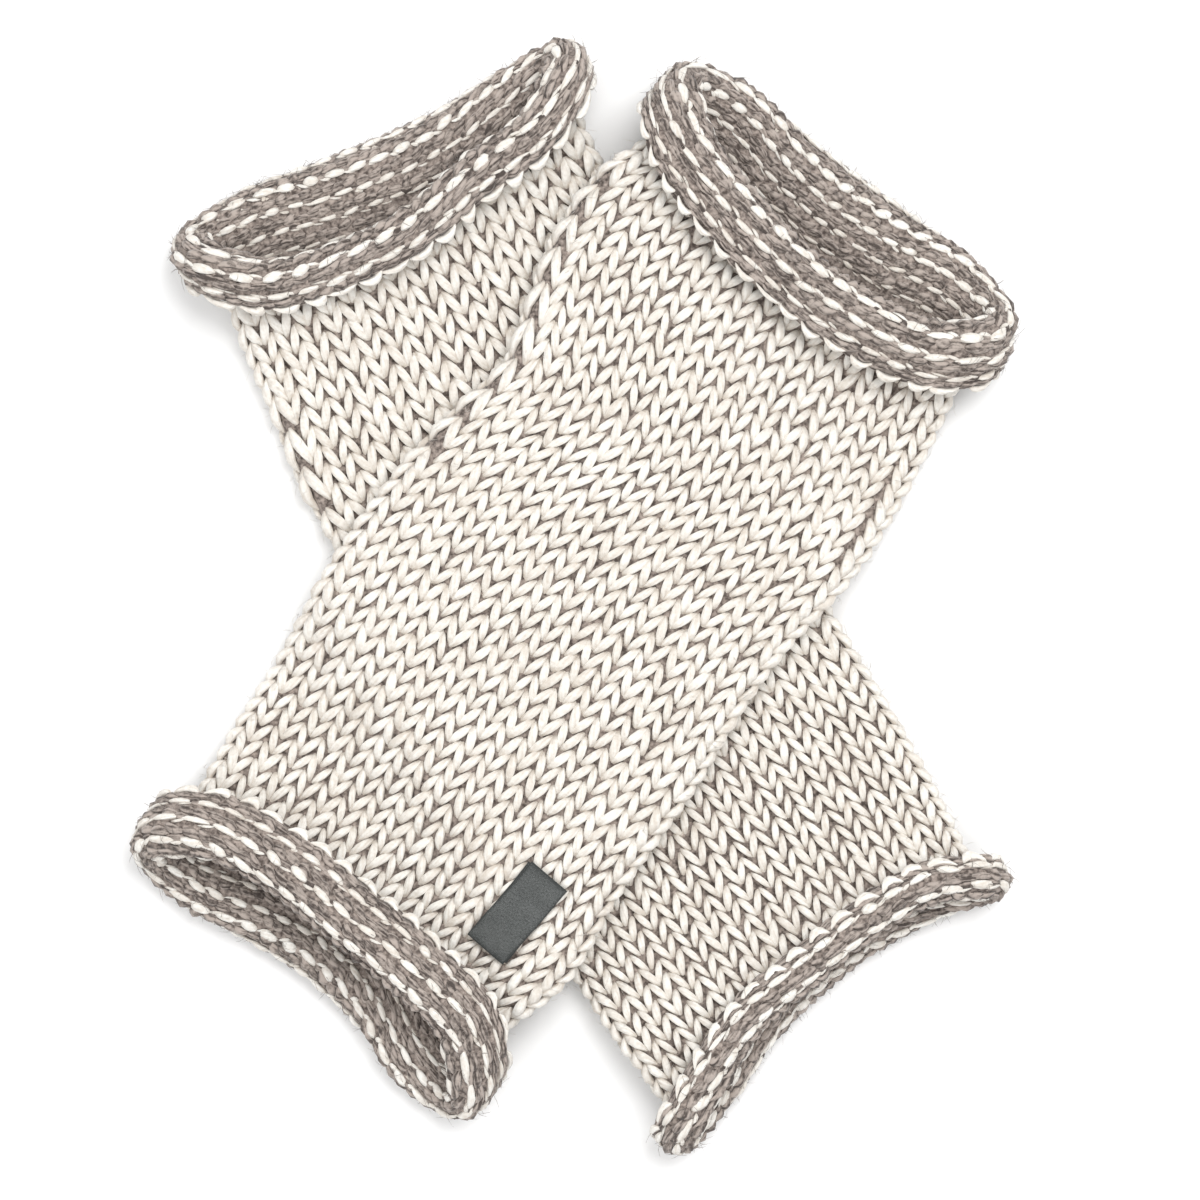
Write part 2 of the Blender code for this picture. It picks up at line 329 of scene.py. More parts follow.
class Paint:
    """A material on one Principled shader."""

    def __init__(self, name, roughness, **fixed):
        self.material = bpy.data.materials.new(name)
        self.material.use_nodes = True
        self.tree = self.material.node_tree
        self.shader = self.tree.nodes["Principled BSDF"]
        self.shader.inputs["Roughness"].default_value = roughness
        for socket, value in fixed.items():
            self.shader.inputs[socket.replace("_", " ")].default_value = value

    def node(self, kind, settings, inputs, output=0):
        """One node: its settings are set first, then its sockets, given by name or in order."""
        node = self.tree.nodes.new(kind)
        for setting, value in settings.items():
            setattr(node, setting, value)
        pairs = inputs.items() if isinstance(inputs, dict) else enumerate(inputs)
        for socket, value in pairs:
            if isinstance(value, Value):
                self.tree.links.new(value.socket, node.inputs[socket])
            elif value is not None:
                node.inputs[socket].default_value = value
        return Value(self, node.outputs[output])

    def object_place(self):
        return self.node("ShaderNodeTexCoord", {}, [], output=3)

    def strand_place(self):
        """Where a point is round its strand and along it, or across a tape and along it."""
        uv = self.node("ShaderNodeUVMap", {"uv_map": STRAND_UV}, [])
        first = self.node("ShaderNodeSeparateXYZ", {}, [uv])
        return first, Value(self, first.socket.node.outputs[1])

    def attribute(self, name):
        return self.node("ShaderNodeAttribute", {"attribute_name": name}, [], output=2)

    def mix(self, share, low, high):
        """A colour between two others, with share kept from 0 to 1."""
        share = self.node("ShaderNodeClamp", {}, [share])
        low, high = ((*c, 1.0) if isinstance(c, tuple) else c for c in (low, high))
        return self.node("ShaderNodeMix", {"data_type": "RGBA"}, {0: share, 6: low, 7: high}, output=2)

    def noise(self, place, scale, detail=2.0, w=None):
        """Smooth noise from about 0 to 1."""
        dimensions = "3D" if w is None else "4D"
        inputs = {"Vector": place, "Scale": scale, "Detail": detail}
        if w is not None:
            inputs["W"] = w
        return self.node("ShaderNodeTexNoise", {"noise_dimensions": dimensions}, inputs)

    def vector(self, x, y):
        return self.node("ShaderNodeCombineXYZ", {}, [x, y, 0.0])

    def feed(self, socket, value):
        self.tree.links.new(value.socket, self.shader.inputs[socket])

    def bump(self, height, strength, distance):
        self.feed("Normal", self.node("ShaderNodeBump", {},
                                      {"Strength": strength, "Distance": distance, "Height": height}))


PLIES = 3
YARN_SPECKS, GROUND_SPECKS, TAPE_CLOUDS, YARN_CLOUDS = 1100.0, 1000.0, 300.0, 60.0   # noise cells a metre
TAPE_RIBS, TAPE_THREADS = 34, 62        # across a label and along it


def wool(name, shadow, light, contrast, speckle, apart, painted_shade_strength):
    """Soft woollen yarn: fibres run along each strand with a slight twist, each strand differs a little,
    and painted shade darkens it toward its shadow colour where it goes down between other strands."""
    paint = Paint(name, 0.85, Sheen_Weight=0.2, Sheen_Roughness=0.5, Specular_IOR_Level=0.15)
    round_it, along_it = paint.strand_place()
    tint = paint.attribute(TINT)
    twist = round_it + along_it * 0.5
    fibres = paint.noise(paint.vector(twist * 9.0, along_it * 2.4), 1.0, detail=4.0, w=tint * 31.0)
    plies = (twist * (PLIES * 2 * math.pi)).maths("SINE")
    place = paint.object_place()
    cloud = paint.noise(place, YARN_CLOUDS)
    specks = paint.noise(place, YARN_SPECKS, detail=4.0)
    share = (fibres - 0.5) * contrast + plies * (0.06 * contrast) + (tint - 0.5) * apart + (cloud - 0.5) * 0.3
    # painted shade: the yarn is darker where it lies low down between other strands
    share = share + (specks - 0.5) * speckle + 0.62 - paint.attribute(PAINTED_SHADE) * painted_shade_strength
    paint.feed("Base Color", paint.mix(share, shadow, light))
    paint.bump(fibres * 0.8 + plies * 0.12 + specks * 0.5, 0.7, 0.0005)
    return paint.material


def ground_wool(name, dark, light):
    """The taupe yarn behind the face, seen down between the stitches."""
    paint = Paint(name, 0.95, Sheen_Weight=0.2, Specular_IOR_Level=0.1)
    strands = paint.noise(paint.object_place(), GROUND_SPECKS, detail=4.0)
    paint.feed("Base Color", paint.mix(strands * 3.0 - 1.05, dark, light))
    paint.bump(strands, 0.8, 0.0006)
    return paint.material


def tape_weave(name, dark, light):
    """Dark woven tape: close ribs across, fine threads along, a heathered colour and a painted shadow along
    its edges.
    """
    paint = Paint(name, 0.7, Sheen_Weight=0.1, Specular_IOR_Level=0.3)
    across, along = paint.strand_place()
    warp = (across * (2 * math.pi * TAPE_RIBS)).maths("SINE")
    weft = (along * (2 * math.pi * TAPE_THREADS)).maths("SINE")
    heather = paint.noise(paint.vector(across * 44.0, along * 60.0), 1.0, detail=3.0)
    to_side, to_end = ((place * 2 - 1).maths("ABSOLUTE") for place in (across, along))
    # painted shadow: the tape is darker along all its edges
    painted_edge_shadow = to_side.maths("MAXIMUM", to_end) ** 18
    cloud = paint.noise(paint.object_place(), TAPE_CLOUDS)
    share = (heather - 0.5) * 2.4 + (cloud - 0.5) * 0.5 + warp * 0.06 + weft * 0.06 + 0.46 - painted_edge_shadow * 0.9
    paint.feed("Base Color", paint.mix(share, dark, light))
    paint.bump(warp * 0.5 + weft * 0.5 + heather, 0.35, 0.00015)
    return paint.material


cream = wool("cream_wool", shadow=(0.62, 0.56, 0.49), light=(0.885, 0.866, 0.82),
             contrast=1.6, speckle=1.1, apart=0.3, painted_shade_strength=0.68)
taupe = wool("taupe_wool", shadow=(0.078, 0.063, 0.056), light=(0.43, 0.37, 0.33),
             contrast=4.2, speckle=1.7, apart=0.5, painted_shade_strength=0.6)
ground = ground_wool("taupe_ground", dark=(0.085, 0.068, 0.06), light=(0.42, 0.355, 0.315))
tape = tape_weave("grey_tape", dark=(0.03, 0.033, 0.032), light=(0.14, 0.147, 0.144))


# ---------------------------------------------------------------- modelling helpers
def finish_edit(select=None):
    """Back to object mode with one object active and selected."""
    if bpy.context.object and bpy.context.object.mode == "EDIT":
        bpy.ops.object.mode_set(mode="OBJECT")
    bpy.ops.object.select_all(action="DESELECT")
    if select:
        select.select_set(True)
        bpy.context.view_layer.objects.active = select


def points_of(piece):
    """The places of all points, in rows of three."""
    co = np.empty(len(piece.data.vertices) * 3, dtype=np.float64)
    piece.data.vertices.foreach_get("co", co)
    return co.reshape(-1, 3)


def move_points(piece, co):
    piece.data.vertices.foreach_set("co", np.asarray(co, dtype=np.float32).ravel())
    piece.data.update()


def apply_modifiers(piece):
    finish_edit(piece)
    for modifier in list(piece.modifiers):
        bpy.ops.object.modifier_apply(modifier=modifier.name)


def strand(name, half_length, half_width, half_height, points, sides=6, rings=7, material=cream):
    """A short stretch of yarn between the two places where it goes under others: a ball drawn out
    along Y, with its lower and its upper end narrowed by the powers in points."""
    bpy.ops.mesh.primitive_uv_sphere_add(segments=sides, ring_count=rings, radius=1.0,
                                         rotation=(math.radians(90), 0, 0))
    piece = bpy.context.object
    piece.name = name
    bpy.ops.object.transform_apply(location=False, rotation=True, scale=True)
    piece.data.uv_layers[0].name = STRAND_UV
    co = points_of(piece)
    full = np.sqrt(np.maximum(1 - co[:, 1] ** 2, 1e-6))
    narrowed = full ** (2 * np.where(co[:, 1] < 0, *points)) / full
    co[:, 0] *= narrowed * half_width
    co[:, 2] *= narrowed * half_height
    co[:, 1] *= half_length
    move_points(piece, co)
    piece.data.materials.append(material)
    bpy.ops.object.shade_smooth()
    return piece


def bend_strand(piece, half_length, sideways, dips):
    """Bows a strand sideways in its middle, and lowers its lower and upper end."""
    co = points_of(piece)
    out = (co[:, 1] / half_length) ** 2
    co[:, 0] += sideways * (1 - out)
    co[:, 2] -= out * np.where(co[:, 1] < 0, *dips)
    move_points(piece, co)


def place_strand(piece, turn, where):
    """Turns a strand anticlockwise about Z and puts it in its place in the stitch."""
    finish_edit(piece)
    bpy.ops.transform.rotate(value=-math.radians(turn), orient_axis="Z", center_override=(0, 0, 0))
    bpy.ops.transform.translate(value=where)
    bpy.ops.object.transform_apply(location=True, rotation=True, scale=True)


STRAND_NUMBER = "strand_number"


def join(pieces, name):
    """Joins pieces into the first of them."""
    finish_edit(pieces[0])
    for piece in pieces[1:]:
        piece.select_set(True)
    bpy.ops.object.join()
    pieces[0].name = name
    return pieces[0]


def join_stitch(strands, name):
    """Joins strands into one stitch, whose points know which strand they belong to."""
    for number, piece in enumerate(strands):
        mark = piece.data.attributes.new(STRAND_NUMBER, "INT", "POINT")
        mark.data.foreach_set("value", np.full(len(piece.data.vertices), number, dtype=np.int32))
    return join(strands, name)


def copy_of(piece, name):
    """A copy with a mesh of its own."""
    twin = piece.copy()
    twin.data = piece.data.copy()
    twin.name = name
    bpy.context.collection.objects.link(twin)
    return twin


def repeat(piece, counts, pitches):
    """Repeats a stitch sideways and then upward, as one flat piece of knitting."""
    for count, step in zip(counts, ((pitches[0], 0, 0), (0, pitches[1], 0))):
        array = piece.modifiers.new("repeat", "ARRAY")
        array.count = count
        array.use_relative_offset = False
        array.use_constant_offset = True
        array.constant_offset_displace = step
    apply_modifiers(piece)


# ---------------------------------------------------------------- the stitches
FACE_HEIGHT = 0.62        # middle of the face's strands, out from the knit's middle surface
LEG_LENGTH = 4.0          # half sizes of one leg of a stitch
LEG_WIDTH = 1.16
LEG_THICK = 1.08
LEG_APART = 1.4           # from the middle of a stitch to the middle of its leg
LEG_TURN, LEG_TWIST = 19.5, 1.5         # degrees that a leg leans, and that the whole stitch is turned
LEG_STAGGER = 0.1         # how much higher the right leg starts


def make_face_stitch():
    """A stitch of the face: two plump legs whose upper ends meet."""
    left = strand("left_leg", LEG_LENGTH, LEG_WIDTH, LEG_THICK, points=(0.68, 0.55))
    bend_strand(left, LEG_LENGTH, 0, (2.0, 1.7))
    right = copy_of(left, "right_leg")
    place_strand(left, -LEG_TURN - LEG_TWIST, (-LEG_APART, -LEG_STAGGER, 0))
    place_strand(right, LEG_TURN - LEG_TWIST, (LEG_APART, LEG_STAGGER, 0))
    return join_stitch([left, right], "face_stitch")


REVERSE_HEIGHT = 0.95     # middle of the reverse's strands, in from the knit's middle surface
CREAM_STRANDS = 2         # the first strands of a stitch of the reverse


def make_reverse_stitch():
    """A stitch of the reverse, seen from inside the tube with the free edge above it: a dash of the cream
    yarn with a thin tail, and of the taupe yarn a foot and a loop beyond it and a strand before the next."""
    dash = strand("dash", 2.55, 0.95, 0.7, points=(0.62, 0.45), rings=6)
    bend_strand(dash, 2.5, -0.1, (0.4, 0.4))
    place_strand(dash, 90 - 6, (0, 1.45, 0.15))
    foot = strand("foot", 2.5, 0.95, 1.0, points=(0.6, 0.6), rings=6, material=taupe)
    bend_strand(foot, 2.5, 0.4, (1.1, 1.1))
    loop = copy_of(foot, "loop")
    between = copy_of(foot, "between")
    place_strand(foot, 90 - 16, (0, 2.75, 0.05))
    place_strand(loop, -90 - 20, (WALE / 2, 3.75, 0.0))
    place_strand(between, 90 - 14, (WALE / 2, 1.3, -0.45))
    tail = strand("tail", 1.6, 0.42, 0.4, points=(0.6, 0.9), sides=5, rings=5)
    bend_strand(tail, 1.6, -0.2, (0.1, 0.6))
    place_strand(tail, 90 + 14, (WALE / 2 - 0.5, 0.95, 0.1))
    return join_stitch([dash, tail, foot, loop, between], "reverse_stitch")


def make_edge_stitch():
    """A stitch of the cast-off edge: a cream crescent and the taupe strand under it."""
    crescent = strand("crescent", 2.55, 1.15, 1.0, points=(0.55, 0.55))
    bend_strand(crescent, 2.55, 1.6, (0.2, 0.2))
    place_strand(crescent, 90 - 4, (0, COURSE - 0.8, 0.45))
    under = strand("under", 3.0, 0.8, 0.65, points=(0.5, 0.5), rings=6, material=taupe)
    bend_strand(under, 3.0, 0.5, (0.5, 0.5))
    place_strand(under, 90 - 4, (WALE / 2, COURSE - 0.3, -0.6))
    return join_stitch([crescent, under], "edge_stitch")


FACE_STITCH = make_face_stitch()
REVERSE_STITCH = make_reverse_stitch()
EDGE_STITCH = make_edge_stitch()


def numbers_of(piece, unit):
    """For each point, the number of its stitch, the number of its strand in the whole piece, and the
    number of its strand in the stitch."""
    stitch = np.arange(len(piece.data.vertices)) // len(unit.data.vertices)
    marks = np.empty(len(stitch), dtype=np.int32)
    piece.data.attributes[STRAND_NUMBER].data.foreach_get("value", marks)
    return stitch, stitch * (marks.max() + 1) + marks, marks


def add_shades(piece, strands, painted_shade, rng):
    """Gives each point the tint of its strand and an amount of painted shade, for the yarn's colour."""
    for name, values in ((TINT, rng.random(strands.max() + 1)[strands]), (PAINTED_SHADE, np.clip(painted_shade, 0, 1))):
        attribute = piece.data.attributes.new(name, "FLOAT", "POINT")
        attribute.data.foreach_set("value", values.astype(np.float32))
    if STRAND_NUMBER in piece.data.attributes:
        piece.data.attributes.remove(piece.data.attributes[STRAND_NUMBER])


def strand_mean(strands, values):
    """For each point, the mean of its strand's values."""
    return (np.bincount(strands, weights=values) / np.bincount(strands))[strands]


def strand_stray(strands, rng, spread):
    """Random amounts of this spread, the same for all points of a strand."""
    return rng.standard_normal((strands.max() + 1, *np.shape(spread)))[strands] * np.array(spread)


def drop_points(piece, unwanted):
    """Removes the stitches that would lie past an edge."""
    finish_edit(piece)
    bpy.ops.object.mode_set(mode="EDIT")
    bpy.ops.mesh.select_mode(type="VERT")
    bpy.ops.mesh.select_all(action="DESELECT")
    bpy.ops.object.mode_set(mode="OBJECT")
    piece.data.vertices.foreach_set("select", unwanted)
    bpy.ops.object.mode_set(mode="EDIT")
    bpy.ops.mesh.delete(type="VERT")
    bpy.ops.object.mode_set(mode="OBJECT")


def slow_wave(around, run, seed, size):
    """A smooth drift over the cloth, the same each time."""
    phase = seed * 1.7
    return size * (np.sin(2 * math.pi * (around * 2) + run / 31.0 + phase)
                   + 0.6 * np.sin(2 * math.pi * (around * 5) - run / 17.0 + 2.3 * phase)
                   + 0.4 * np.sin(2 * math.pi * (around * 3) + run / 11.0 + 3.1 * phase))


# How much strands differ in size, in place across, along and out, and in slant
FACE_SIZES, FACE_PLACES, FACE_SLANTS = 0.055, (0.12, 0.15, 0.07), 0.03
REVERSE_SIZES, REVERSE_PLACES, REVERSE_SLANTS = 0.12, (0.28, 0.16, 0.08), 0.07
FACE_DRIFT = 0.3          # how far whole rows of the face wander up and down
FULL_LEGS, SLIMMING = 0.96, 1.1     # where courses are closer than this share, and how much slimmer legs get
FACE_PAST_FOLD = 3.0      # how far the face's stitches go on into the roll
FACE_TOP, FACE_DEPTH = 0.75, 0.55   # from where down, and how fast, painted shade darkens the yarn of the face
# the same for the reverse: from where down, and how fast, painted shade darkens its yarn
REVERSE_TOP, REVERSE_DEPTH = 0.5, 0.55
THIN_DEPTH = 1.2          # how much more painted shade darkens the cream yarn of the reverse where it is sunk and shows less
GROUND_HEIGHT = -0.55     # middle of the cloth behind the face's strands
GROUND_THICK = 0.6
FACE_LOWEST = GROUND_HEIGHT - 0.2   # so that no strand pokes out on the other side of the cloth
REVERSE_HIGHEST = GROUND_HEIGHT + 0.1


# A place where the stitches of the face are stretched: where it is round the tube and along it, how far
# it reaches both ways, how much larger its strands are, and how far they part from its middle. Where they
# are much larger, one stitch takes the room of two.
Loose = namedtuple("Loose", "glove around run reach_around reach_run grow part")
LOOSE_PLACES = [
    Loose(UPPER, 0.5 / 35, 38.0, 0.018, 36.0, 0.6, 0.0),
    Loose(UPPER, 16.5 / 35, 45.0, 0.03, 13.0, 0.0, 0.75),
    Loose(LOWER, 0.5 / 34, 52.0, 0.018, 14.0, 0.6, 0.0),
]
GROW_ACROSS = 0.3         # share of the growth that goes to a strand's width
MUCH_LARGER = 0.2
PARTING = 0.005           # share of the way round in which the strands at a gap part


def loosen(glove, around, run):
    """For strands at these places, how much larger they are and how far they move aside."""
    grow, aside = np.zeros(len(run)), np.zeros(len(run))
    for spot in LOOSE_PLACES:
        if spot.glove is glove:
            off = around - spot.around
            near = np.exp(-(off / spot.reach_around) ** 2 - ((run - spot.run) / spot.reach_run) ** 2)
            grow += spot.grow * near
            aside += spot.part * near * np.tanh(off / PARTING)
    return grow, aside


def knit_face(glove, side, first, count, seed):
    """The face of one panel, laid on the tube."""
    rng = np.random.default_rng(seed)
    flat, laid = course_places(glove)
    reach = (min(glove.bottom.rim) - FACE_PAST_FOLD, max(glove.top.rim) + FACE_PAST_FOLD)
    low, high = (round(height / COURSE) for height in np.interp(reach, laid, flat))
    piece = copy_of(FACE_STITCH, f"{glove.name}_{side}_face")
    repeat(piece, (count, high - low), (WALE, COURSE))
    stitch, strands, _ = numbers_of(piece, FACE_STITCH)
    co = points_of(piece)
    # painted shade: the face's yarn is darker the lower a point lies in its stitch
    add_shades(piece, strands, FACE_DEPTH * (FACE_TOP - co[:, 2]), rng)
    size = 1 + np.clip(strand_stray(strands, rng, FACE_SIZES), -2 * FACE_SIZES, 2 * FACE_SIZES)
    shift = strand_stray(strands, rng, FACE_PLACES)
    slant = strand_stray(strands, rng, FACE_SLANTS)

    column, row = stitch % count, stitch // count
    middle_x, middle_y = column * WALE, row * COURSE
    centre_around = (column + first + 0.5) / glove.wales
    centre_run, closeness = (np.interp((row + low) * COURSE, flat, values)
                             for values in (laid, np.gradient(laid, flat)))
    strand_x = strand_mean(strands, co[:, 0])
    grow, aside = loosen(glove, (strand_x / WALE + first + 0.5) / glove.wales, centre_run)
    off_x, off_y = co[:, 0] - strand_x, co[:, 1] - strand_mean(strands, co[:, 1])
    lean = strand_mean(strands, off_x * off_y) / strand_mean(strands, off_y ** 2)
    slimmer = (off_x - lean * off_y) * np.clip(FULL_LEGS - closeness, 0, 1) * SLIMMING

    x = (middle_x + (co[:, 0] - middle_x) * (size + grow * GROW_ACROSS) + (co[:, 1] - middle_y) * slant
         + shift[:, 0] + aside - slimmer)
    y = middle_y + (co[:, 1] - middle_y) * (size + grow) + shift[:, 1]
    z = np.maximum(FACE_HEIGHT + co[:, 2] * size + shift[:, 2], FACE_LOWEST)
    around = (x / WALE + first + 0.5) / glove.wales
    run = np.interp(y + low * COURSE, flat, laid) + slow_wave(centre_around, centre_run, seed, FACE_DRIFT)

    kept = ((centre_run < fold_line(glove.top, 1, centre_around) + FACE_PAST_FOLD)
            & (centre_run > fold_line(glove.bottom, -1, centre_around) - FACE_PAST_FOLD)
            & ((loosen(glove, centre_around, centre_run)[0] < MUCH_LARGER) | (row % 2 == 0)))
    move_points(piece, cloth_place(glove, around, run, z))
    drop_points(piece, ~kept)
    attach(piece, "root")
    return piece


def dash_width(past_fold, on_back):
    """How boldly the cream yarn shows on the reverse: faint inside the mouth, bold along the crest of the
    roll and rounder there on the back lip, and thinner toward the free edge."""
    places = (-9.0, -2.0, 3.0, 7.0, 13.0, 19.0)
    return np.where(on_back, np.interp(past_fold, places, (0.5, 0.75, 1.1, 1.3, 1.0, 1.0)),
                    np.interp(past_fold, places, (0.3, 0.4, 0.9, 1.05, 0.95, 0.75)))


def lay_reverse(piece, glove, end, way, unit, rows, rng):
    """Lays rows of reverse stitches on one end, with the last row at the free edge. Returns, for each
    point, how far its stitch is past the fold."""
    repeat(piece, (glove.wales, rows), (WALE, COURSE))
    stitch, strands, marks = numbers_of(piece, unit)
    co = points_of(piece)
    middle_row = rows - stitch // glove.wales - 0.5
    middle_around = (stitch % glove.wales + 0.5) / glove.wales
    middle = edge_run(end, middle_around) - middle_row * end.row

    size = 1 + strand_stray(strands, rng, REVERSE_SIZES)
    shift = strand_stray(strands, rng, REVERSE_PLACES)
    width = np.where(marks < CREAM_STRANDS, dash_width(middle, middle_around > 0.5), 1.0)
    thin = np.clip(1 - width, 0, 1)
    # painted shade: darker the lower a point lies, and more where a cream dash is sunk and thin
    add_shades(piece, strands, REVERSE_DEPTH * (REVERSE_TOP - co[:, 2]) + THIN_DEPTH * thin, rng)
    slant = strand_stray(strands, rng, REVERSE_SLANTS)

    strand_x, strand_y = (strand_mean(strands, co[:, axis]) for axis in (0, 1))
    x = strand_x + (co[:, 0] - strand_x) * (2 - size) + shift[:, 0]
    y = strand_y + (co[:, 1] - strand_y) * size * width + (co[:, 0] - strand_x) * slant + shift[:, 1]
    if unit is EDGE_STITCH:
        y = y - end.edge_back * (marks == 0)
    height = np.minimum(-REVERSE_HEIGHT - co[:, 2] * size + shift[:, 2] + 0.5 * thin, REVERSE_HIGHEST)
    around = (x / WALE + 0.5) / glove.wales
    past_fold = edge_run(end, around) - (rows - y / COURSE) * end.row
    past_fold = np.where(past_fold < 0, past_fold * COURSE / end.row, past_fold)
    move_points(piece, cloth_place(glove, around, fold_line(end, way, around) + way * past_fold, height))
    if way > 0:
        piece.data.flip_normals()
    return np.where(middle < 0, middle * COURSE / end.row, middle)


def knit_reverse(glove, end, way, label, seed):
    """The reverse of one end: some way into the mouth, then round the roll to its cast-off edge."""
    rng = np.random.default_rng(seed)
    inside = end.purl_rows_inside * COURSE
    rows = math.ceil(edge_run(end, np.linspace(0, 1, 48)).max() / end.row) + end.purl_rows_inside
    body = copy_of(REVERSE_STITCH, f"{glove.name}_{label}_reverse")
    past_fold = lay_reverse(body, glove, end, way, REVERSE_STITCH, rows, rng)
    drop_points(body, past_fold < -inside)
    edge = copy_of(EDGE_STITCH, f"{glove.name}_{label}_edge")
    lay_reverse(edge, glove, end, way, EDGE_STITCH, 1, rng)
    piece = join([body, edge], body.name)
    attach(piece, "root")
    return piece


# ---------------------------------------------------------------- loose fibres
HAIRS = 1500              # on each glove
HAIR_LENGTH = 2.6
HAIR_WIDTH = 0.09
AT_SIDES, AT_BOTTOM = 0.4, 0.7          # shares up to which they stand at the sides and on the bottom roll
HAIR_ROOT = 1.2           # how far out from the knit's middle surface they start


def make_fuzz(glove, seed):
    """Fibres that stand off the yarn, most of them along the sides and on the rolled ends."""
    rng = np.random.default_rng(seed)
    unit = strand("hair", HAIR_LENGTH / 2, HAIR_WIDTH / 2, HAIR_WIDTH / 2, points=(0.5, 0.8),
                  sides=3, rings=4)
    piece = copy_of(unit, f"{glove.name}_fuzz")
    repeat(piece, (HAIRS, 1), (1.0, 1.0))
    hair = np.arange(len(piece.data.vertices)) // len(unit.data.vertices)
    co = points_of(piece)

    where = rng.random(HAIRS)
    at_side = np.floor(rng.random(HAIRS) * 2) / 2 + 0.03 * rng.standard_normal(HAIRS)
    around = np.where(where < AT_SIDES, at_side, rng.random(HAIRS))
    run = glove.bottom.rim[0] * 0.9 + (glove.top.rim[0] - glove.bottom.rim[0]) * 0.9 * rng.random(HAIRS)
    for (end, way), low, high in zip(ends_of(glove), (AT_SIDES, AT_BOTTOM), (AT_BOTTOM, 1.0)):
        on_roll = fold_line(end, way, around) + way * edge_run(end, around) * rng.uniform(0.15, 0.95, HAIRS)
        run = np.where((where >= low) & (where < high), on_roll, run)
    facing = np.where(where < AT_SIDES, 1.0, -1.0)
    turn = rng.uniform(0, 2 * math.pi, HAIRS)
    rise = rng.uniform(0.3, 1.0, HAIRS)
    bow = rng.uniform(-0.5, 0.5, HAIRS)
    length = rng.uniform(0.5, 1.3, HAIRS)
    add_shades(piece, hair, np.zeros(len(hair)), rng)

    far = (co[:, 1] + HAIR_LENGTH / 2) * length[hair]
    level = far * np.sqrt(1 - 0.8 * rise[hair] ** 2)
    beside = (co[:, 0] - hair + bow[hair] * far ** 2 / HAIR_LENGTH) * facing[hair]
    x = level * np.cos(turn[hair]) + beside * np.sin(turn[hair])
    y = level * np.sin(turn[hair]) - beside * np.cos(turn[hair])
    height = facing[hair] * (HAIR_ROOT + far * rise[hair] * 0.9 + co[:, 2])
    move_points(piece, cloth_place(glove, around[hair] + x / (WALE * glove.wales), run[hair] + y, height))
    piece.data.materials.append(taupe)
    hair_of_face = np.repeat(np.arange(HAIRS), len(unit.data.polygons))
    piece.data.polygons.foreach_set("material_index", (facing[hair_of_face] < 0).astype(np.int32))
    bpy.data.objects.remove(unit)
    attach(piece, "root")
    return piece


# ---------------------------------------------------------------- the plated ground behind the face
GROUND_RUN_STEPS = 100
SEAM_MERGE = 0.00002      # metres within which the tube's two long edges become one


def make_ground(glove):
    """The knit's body as one closed thin tube, which shows taupe between the stitches."""
    bpy.ops.mesh.primitive_grid_add(x_subdivisions=glove.wales * 2, y_subdivisions=GROUND_RUN_STEPS, size=1.0)
    piece = bpy.context.object
    piece.name = f"{glove.name}_ground"
    co = points_of(piece)
    around = np.clip(co[:, 0] + 0.5, 0, 1)
    low = fold_line(glove.bottom, -1, around) - edge_run(glove.bottom, around)
    high = fold_line(glove.top, 1, around) + edge_run(glove.top, around)
    run = low + (high - low) * np.clip(co[:, 1] + 0.5, 0, 1)
    move_points(piece, cloth_place(glove, around, run, np.full(len(co), GROUND_HEIGHT)))
    finish_edit(piece)
    bpy.ops.object.mode_set(mode="EDIT")
    bpy.ops.mesh.select_all(action="SELECT")
    bpy.ops.mesh.remove_doubles(threshold=SEAM_MERGE)
    bpy.ops.object.mode_set(mode="OBJECT")
    wall = piece.modifiers.new("wall", "SOLIDIFY")
    wall.thickness = GROUND_THICK * MM
    wall.offset = 0.0
    apply_modifiers(piece)
    piece.data.materials.append(ground)
    bpy.ops.object.shade_smooth()
    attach(piece, "root")
    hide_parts(glove.body)
    return piece


# ---------------------------------------------------------------- the label
LABEL_WIDTH, LABEL_LENGTH = 10.2, 21.0
LABEL_ACROSS, LABEL_ALONG, LABEL_TILT = 30.6, -68.6, -5.3      # its middle on the upper glove, and degrees
LAYER_THICK = 0.34
LAYER_ROUND = 0.1         # rounding of its edges
LAYER_WAVE = 0.08         # how far it lies uneven


def front_place(glove, across, along):
    """The place round the tube that lies at this distance across the front panel."""
    rows = glove.sections
    left = table_value(rows, "left", along)
    right = table_value(rows, "right", along)
    bend = table_value(rows, "bend", along)
    run = math.pi / 2 * bend + across + left - bend
    return run / (2 * (math.pi * bend + left + right - 2 * bend))


def label_layer(name, height, width, length, slide, turn, droop):
    """One layer of the folded tape, a thin strip that follows the panel under it and droops at its edges."""
    bpy.ops.mesh.primitive_grid_add(x_subdivisions=16, y_subdivisions=32, size=1.0)
    piece = bpy.context.object
    piece.name = name
    piece.data.uv_layers[0].name = STRAND_UV
    co = points_of(piece)
    tilt = math.radians(LABEL_TILT + turn)
    u, v = co[:, 0] * width, co[:, 1] * length
    across = LABEL_ACROSS + slide[0] + u * math.cos(tilt) - v * math.sin(tilt)
    along = LABEL_ALONG + slide[1] + u * math.sin(tilt) + v * math.cos(tilt)
    lift = height + droop * (np.abs(co[:, 0] * 2) ** 6 + np.abs(co[:, 1] * 2) ** 8)
    lift = lift + LAYER_WAVE * np.sin(v * 0.55 + 0.6) * np.cos(u * 0.5)
    move_points(piece, cloth_place(UPPER, front_place(UPPER, across, along), along, lift))
    wall = piece.modifiers.new("wall", "SOLIDIFY")
    wall.thickness = LAYER_THICK * MM
    wall.offset = 0.0
    edge = piece.modifiers.new("edge", "BEVEL")
    edge.width = LAYER_ROUND * MM
    edge.segments = 2
    edge.limit_method = "ANGLE"
    apply_modifiers(piece)
    piece.data.materials.append(tape)
    bpy.ops.object.shade_smooth_by_angle(angle=math.radians(40))
    return piece


